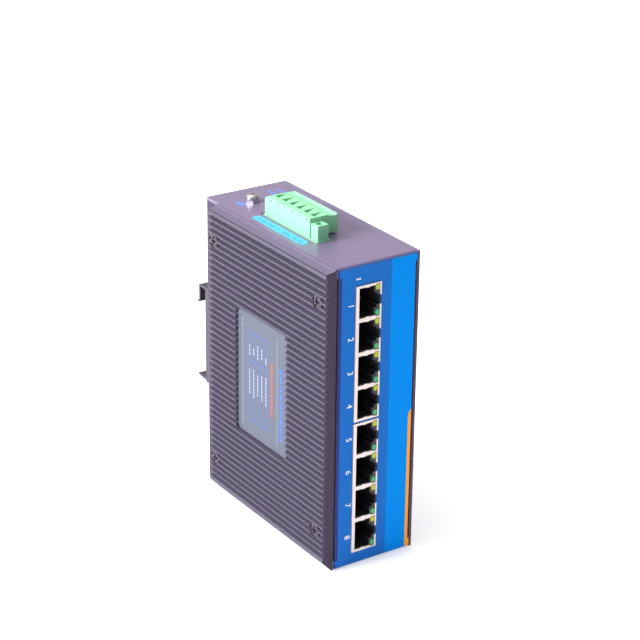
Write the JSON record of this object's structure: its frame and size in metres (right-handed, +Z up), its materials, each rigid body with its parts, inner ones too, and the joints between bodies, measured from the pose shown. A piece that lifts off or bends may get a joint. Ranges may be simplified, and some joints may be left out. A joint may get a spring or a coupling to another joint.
{
  "type": "industrial ethernet switch",
  "caption": "Industrial ethernet switch for a top-hat rail: a slim folded case with a ribbed aluminium side, stacked network sockets with lamps, a pluggable supply terminal and a rail clip.",
  "frame": {"origin": "centre of the underside of the whole object's bounding box", "axes": "+X to the right seen from the sockets' side, away from the ribbed side; +Y from the sockets in front to the rail clip at the back; +Z up, towards the supply terminal"},
  "size_m": [0.0428, 0.1046, 0.1357],
  "materials": {
    "extrusion": "blasted and anodised grey",
    "case_sheet": "satin grey",
    "print_film": "printed blue film",
    "label_film": "satin film",
    "screw_steel": "nickel-plated",
    "shield_tin": "tinned, a little soft",
    "socket_black": "moulded",
    "contact_gold": "gold-plated",
    "lamp_yellow": "translucent",
    "lamp_green": "translucent",
    "clear_plastic": "clear",
    "board_green": "solder mask",
    "component_black": "moulded",
    "can_metal": "drawn",
    "pad_grey": "soft",
    "terminal_green": "moulded",
    "clip_metal": "extruded"
  },
  "bodies": {
    "root": {"side_extrusion": "extrusion", "label_plate": "label_film", "front_shell": "case_sheet", "side_cover": "case_sheet", "front_print": "print_film", "side_screws": "screw_steel", "cover_screws": "screw_steel", "press_nuts": "screw_steel", "socket_shield_upper": "shield_tin", "socket_shield_lower": "shield_tin", "socket_body_upper": "socket_black", "socket_body_lower": "socket_black", "socket_contacts": "contact_gold", "link_lamps": "lamp_yellow", "activity_lamps": "lamp_green", "main_board": "board_green", "board_standoffs": "screw_steel", "board_screws": "screw_steel", "switch_chip": "component_black", "thermal_pad": "pad_grey", "heat_spreader": "clip_metal", "line_transformers": "component_black", "capacitors": "can_metal", "power_inductors": "component_black", "crystal": "can_metal", "light_pipe": "clear_plastic", "power_lamp": "lamp_green", "terminal_header": "terminal_green", "header_pins": "can_metal", "terminal_plug": "terminal_green", "wire_cages": "contact_gold", "clamp_screws": "screw_steel", "ear_screw": "screw_steel", "earth_washer": "screw_steel", "earth_screw": "screw_steel", "earth_nut": "screw_steel", "rail_clip": "clip_metal", "rail_spring": "screw_steel", "clip_screws": "screw_steel"}
  },
  "joints": []
}
